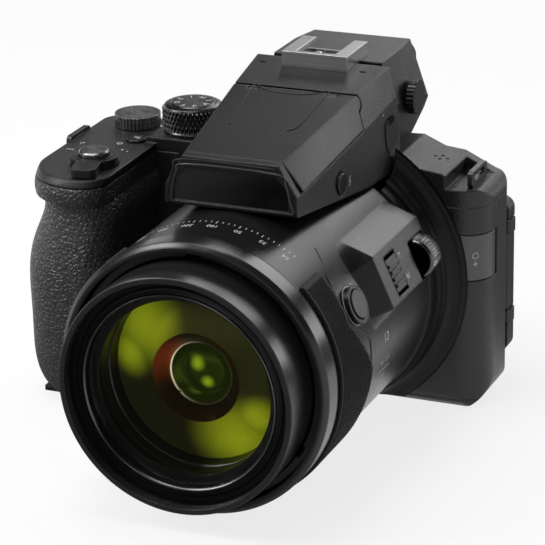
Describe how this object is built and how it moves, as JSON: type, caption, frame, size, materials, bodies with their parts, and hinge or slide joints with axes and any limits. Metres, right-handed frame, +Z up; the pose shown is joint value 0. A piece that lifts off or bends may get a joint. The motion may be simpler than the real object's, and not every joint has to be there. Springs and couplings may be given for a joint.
{
  "type": "bridge camera",
  "caption": "Bridge camera with a long extending zoom lens, hand grip, pop-up flash hump, viewfinder and swing-out monitor.",
  "frame": {"origin": "mouth of the tripod socket, on the base face straight under the lens axis", "axes": "+X towards the monitor hinge side, -X towards the hand grip, -Y the way the lens looks, +Z up"},
  "size_m": [0.1407, 0.1498, 0.1096],
  "materials": {
    "body_plastic": "fine speckled satin",
    "grip_rubber": "pebbled grain",
    "gloss_black": "gloss",
    "lens_metal": "satin black",
    "lens_black": "matt",
    "optical_glass": "coated",
    "screen_glass": "gloss",
    "bright_metal": "brushed",
    "chassis_metal": "rolled sheet",
    "dial_metal": "black anodised",
    "control_plastic": "satin",
    "circuit_board": "solder mask",
    "sensor_face": "filter glass",
    "battery_case": "moulded"
  },
  "bodies": {
    "camera_body": {"accessory_shoe": "bright_metal", "barrel_front_ring": "gloss_black", "barrel_rubber": "grip_rubber", "base_plate": "body_plastic", "battery": "battery_case", "body_screws": "bright_metal", "chassis": "chassis_metal", "evf_housing": "body_plastic", "eyecup": "grip_rubber", "eyepiece_lens": "optical_glass", "flash_hinge_pin": "bright_metal", "front_cover": "body_plastic", "grip_rubber": "grip_rubber", "hump_housing": "body_plastic", "image_sensor": "sensor_face", "lens_barrel": "body_plastic", "lens_collar": "body_plastic", "main_board": "circuit_board", "memory_card": "battery_case", "nameplate": "gloss_black", "rear_cover": "body_plastic", "rear_lens": "optical_glass", "rear_lens_cell": "lens_metal", "strap_eyelets": "bright_metal", "top_cover": "body_plastic", "tripod_socket": "bright_metal"},
    "mid": {"mid_barrel": "lens_metal", "zoom_lens_cell": "lens_metal", "zoom_lens": "optical_glass"},
    "front": {"front_barrel": "lens_metal", "lens_bezel": "lens_black", "front_lens": "optical_glass", "lens_baffle": "lens_black"},
    "flash": {"flash_lid": "body_plastic", "flash_window": "screen_glass"},
    "monitor": {"monitor_arm": "body_plastic", "monitor_panel": "body_plastic", "monitor_glass": "screen_glass"},
    "flash_button_body": {"flash_button": "control_plastic"},
    "shutter_button_body": {"shutter_button": "dial_metal"},
    "zoom_lever_body": {"zoom_lever": "control_plastic"},
    "fn_button_body": {"fn_button": "control_plastic"},
    "power_button_body": {"power_button": "control_plastic"},
    "command_dial_body": {"command_dial": "dial_metal"},
    "mode_dial_body": {"mode_dial": "dial_metal"},
    "side_dial_body": {"side_dial": "dial_metal"},
    "zoom_rocker_body": {"zoom_rocker": "control_plastic"},
    "snap_back_button_body": {"snap_back_button": "control_plastic"},
    "diopter_dial_body": {"diopter_dial": "control_plastic"},
    "selector_dial_body": {"selector_dial": "control_plastic"},
    "ok_button_body": {"ok_button": "control_plastic"},
    "play_button_body": {"play_button": "control_plastic"},
    "menu_button_body": {"menu_button": "control_plastic"},
    "delete_button_body": {"delete_button": "control_plastic"},
    "display_button_body": {"display_button": "control_plastic"},
    "movie_button_body": {"movie_button": "control_plastic"},
    "ae_lock_button_body": {"ae_lock_button": "control_plastic"},
    "battery_door_body": {"battery_door": "body_plastic"},
    "battery_latch_body": {"battery_latch": "control_plastic"},
    "connector_cover_body": {"connector_cover": "body_plastic"}
  },
  "joints": [
    {"name": "mid_barrel_extend", "type": "slide", "parent": "camera_body", "child": "mid", "axis": [0, -1, 0], "range_m": [0, 0.039]},
    {"name": "front_barrel_extend", "type": "slide", "parent": "mid", "child": "front", "axis": [0, -1, 0], "range_m": [0, 0.039]},
    {"name": "flash_raise", "type": "hinge", "parent": "camera_body", "child": "flash", "pos_m": [0, -0.0294, 0.10088], "axis": [-1, 0, 0], "range_deg": [0, 55]},
    {"name": "flash_button_press", "type": "slide", "parent": "camera_body", "child": "flash_button_body", "axis": [-1, 0, 0], "range_m": [0, 0.0006], "stiffness_N_per_m": 300},
    {"name": "shutter_press", "type": "slide", "parent": "camera_body", "child": "shutter_button_body", "axis": [0, 0, -1], "range_m": [0, 0.001], "stiffness_N_per_m": 300},
    {"name": "zoom_lever_turn", "type": "hinge", "parent": "camera_body", "child": "zoom_lever_body", "pos_m": [-0.0636, -0.0355, 0.0765], "axis": [0, 0, 1], "range_deg": [-15, 15], "stiffness_Nm_per_rad": 0.05},
    {"name": "fn_press", "type": "slide", "parent": "camera_body", "child": "fn_button_body", "axis": [0, 0, -1], "range_m": [0, 0.0006], "stiffness_N_per_m": 300},
    {"name": "power_press", "type": "slide", "parent": "camera_body", "child": "power_button_body", "axis": [0, 0, -1], "range_m": [0, 0.0006], "stiffness_N_per_m": 300},
    {"name": "command_dial_turn", "type": "hinge", "parent": "camera_body", "child": "command_dial_body", "pos_m": [-0.0674, 0.004, 0.077], "axis": [0, 0, 1], "continuous": true},
    {"name": "mode_dial_turn", "type": "hinge", "parent": "camera_body", "child": "mode_dial_body", "pos_m": [-0.046, -0.0005, 0.08], "axis": [0, 0, 1], "continuous": true},
    {"name": "side_dial_turn", "type": "hinge", "parent": "camera_body", "child": "side_dial_body", "pos_m": [0.03947, -0.0302, 0.0566], "axis": [0, 1, 0], "continuous": true},
    {"name": "zoom_rocker_slide", "type": "slide", "parent": "camera_body", "child": "zoom_rocker_body", "axis": [-0.4067, 0, 0.9135], "range_m": [-0.0009, 0.0009], "stiffness_N_per_m": 300},
    {"name": "snap_back_press", "type": "slide", "parent": "camera_body", "child": "snap_back_button_body", "axis": [-0.9135, 0, -0.4067], "range_m": [0, 0.0006], "stiffness_N_per_m": 300},
    {"name": "diopter_turn", "type": "hinge", "parent": "camera_body", "child": "diopter_dial_body", "pos_m": [0.0214, 0.0131, 0.0908], "axis": [1, 0, 0], "range_deg": [-70, 70]},
    {"name": "selector_turn", "type": "hinge", "parent": "camera_body", "child": "selector_dial_body", "pos_m": [-0.041, 0.0125, 0.033], "axis": [0, 1, 0], "continuous": true},
    {"name": "ok_press", "type": "slide", "parent": "camera_body", "child": "ok_button_body", "axis": [0, -1, 0], "range_m": [0, 0.0006], "stiffness_N_per_m": 300},
    {"name": "play_press", "type": "slide", "parent": "camera_body", "child": "play_button_body", "axis": [0, -1, 0], "range_m": [0, 0.0006], "stiffness_N_per_m": 300},
    {"name": "menu_press", "type": "slide", "parent": "camera_body", "child": "menu_button_body", "axis": [0, -1, 0], "range_m": [0, 0.0006], "stiffness_N_per_m": 300},
    {"name": "delete_press", "type": "slide", "parent": "camera_body", "child": "delete_button_body", "axis": [0, -1, 0], "range_m": [0, 0.0006], "stiffness_N_per_m": 300},
    {"name": "display_press", "type": "slide", "parent": "camera_body", "child": "display_button_body", "axis": [0, -1, 0], "range_m": [0, 0.0006], "stiffness_N_per_m": 300},
    {"name": "movie_press", "type": "slide", "parent": "camera_body", "child": "movie_button_body", "axis": [0, -1, 0], "range_m": [0, 0.0006], "stiffness_N_per_m": 300},
    {"name": "ae_lock_press", "type": "slide", "parent": "camera_body", "child": "ae_lock_button_body", "axis": [0, -1, 0], "range_m": [0, 0.0006], "stiffness_N_per_m": 300},
    {"name": "monitor_swing", "type": "hinge", "parent": "camera_body", "child": "monitor", "pos_m": [0.0514, 0.01635, 0.037], "axis": [0, 0, -1], "range_deg": [0, 180]},
    {"name": "battery_door_open", "type": "hinge", "parent": "camera_body", "child": "battery_door_body", "pos_m": [-0.0595, -0.0185, 0.0015], "axis": [0, -1, 0], "range_deg": [0, 90]},
    {"name": "battery_latch_slide", "type": "slide", "parent": "battery_door_body", "child": "battery_latch_body", "axis": [1, 0, 0], "range_m": [0, 0.0025]},
    {"name": "connector_cover_open", "type": "hinge", "parent": "camera_body", "child": "connector_cover_body", "pos_m": [0.0523, -0.0019, 0.0494], "axis": [0, 0, 1], "range_deg": [0, 100]}
  ],
  "couplings": [
    {"joint": "front_barrel_extend", "follows": "mid_barrel_extend", "ratio": 1}
  ]
}
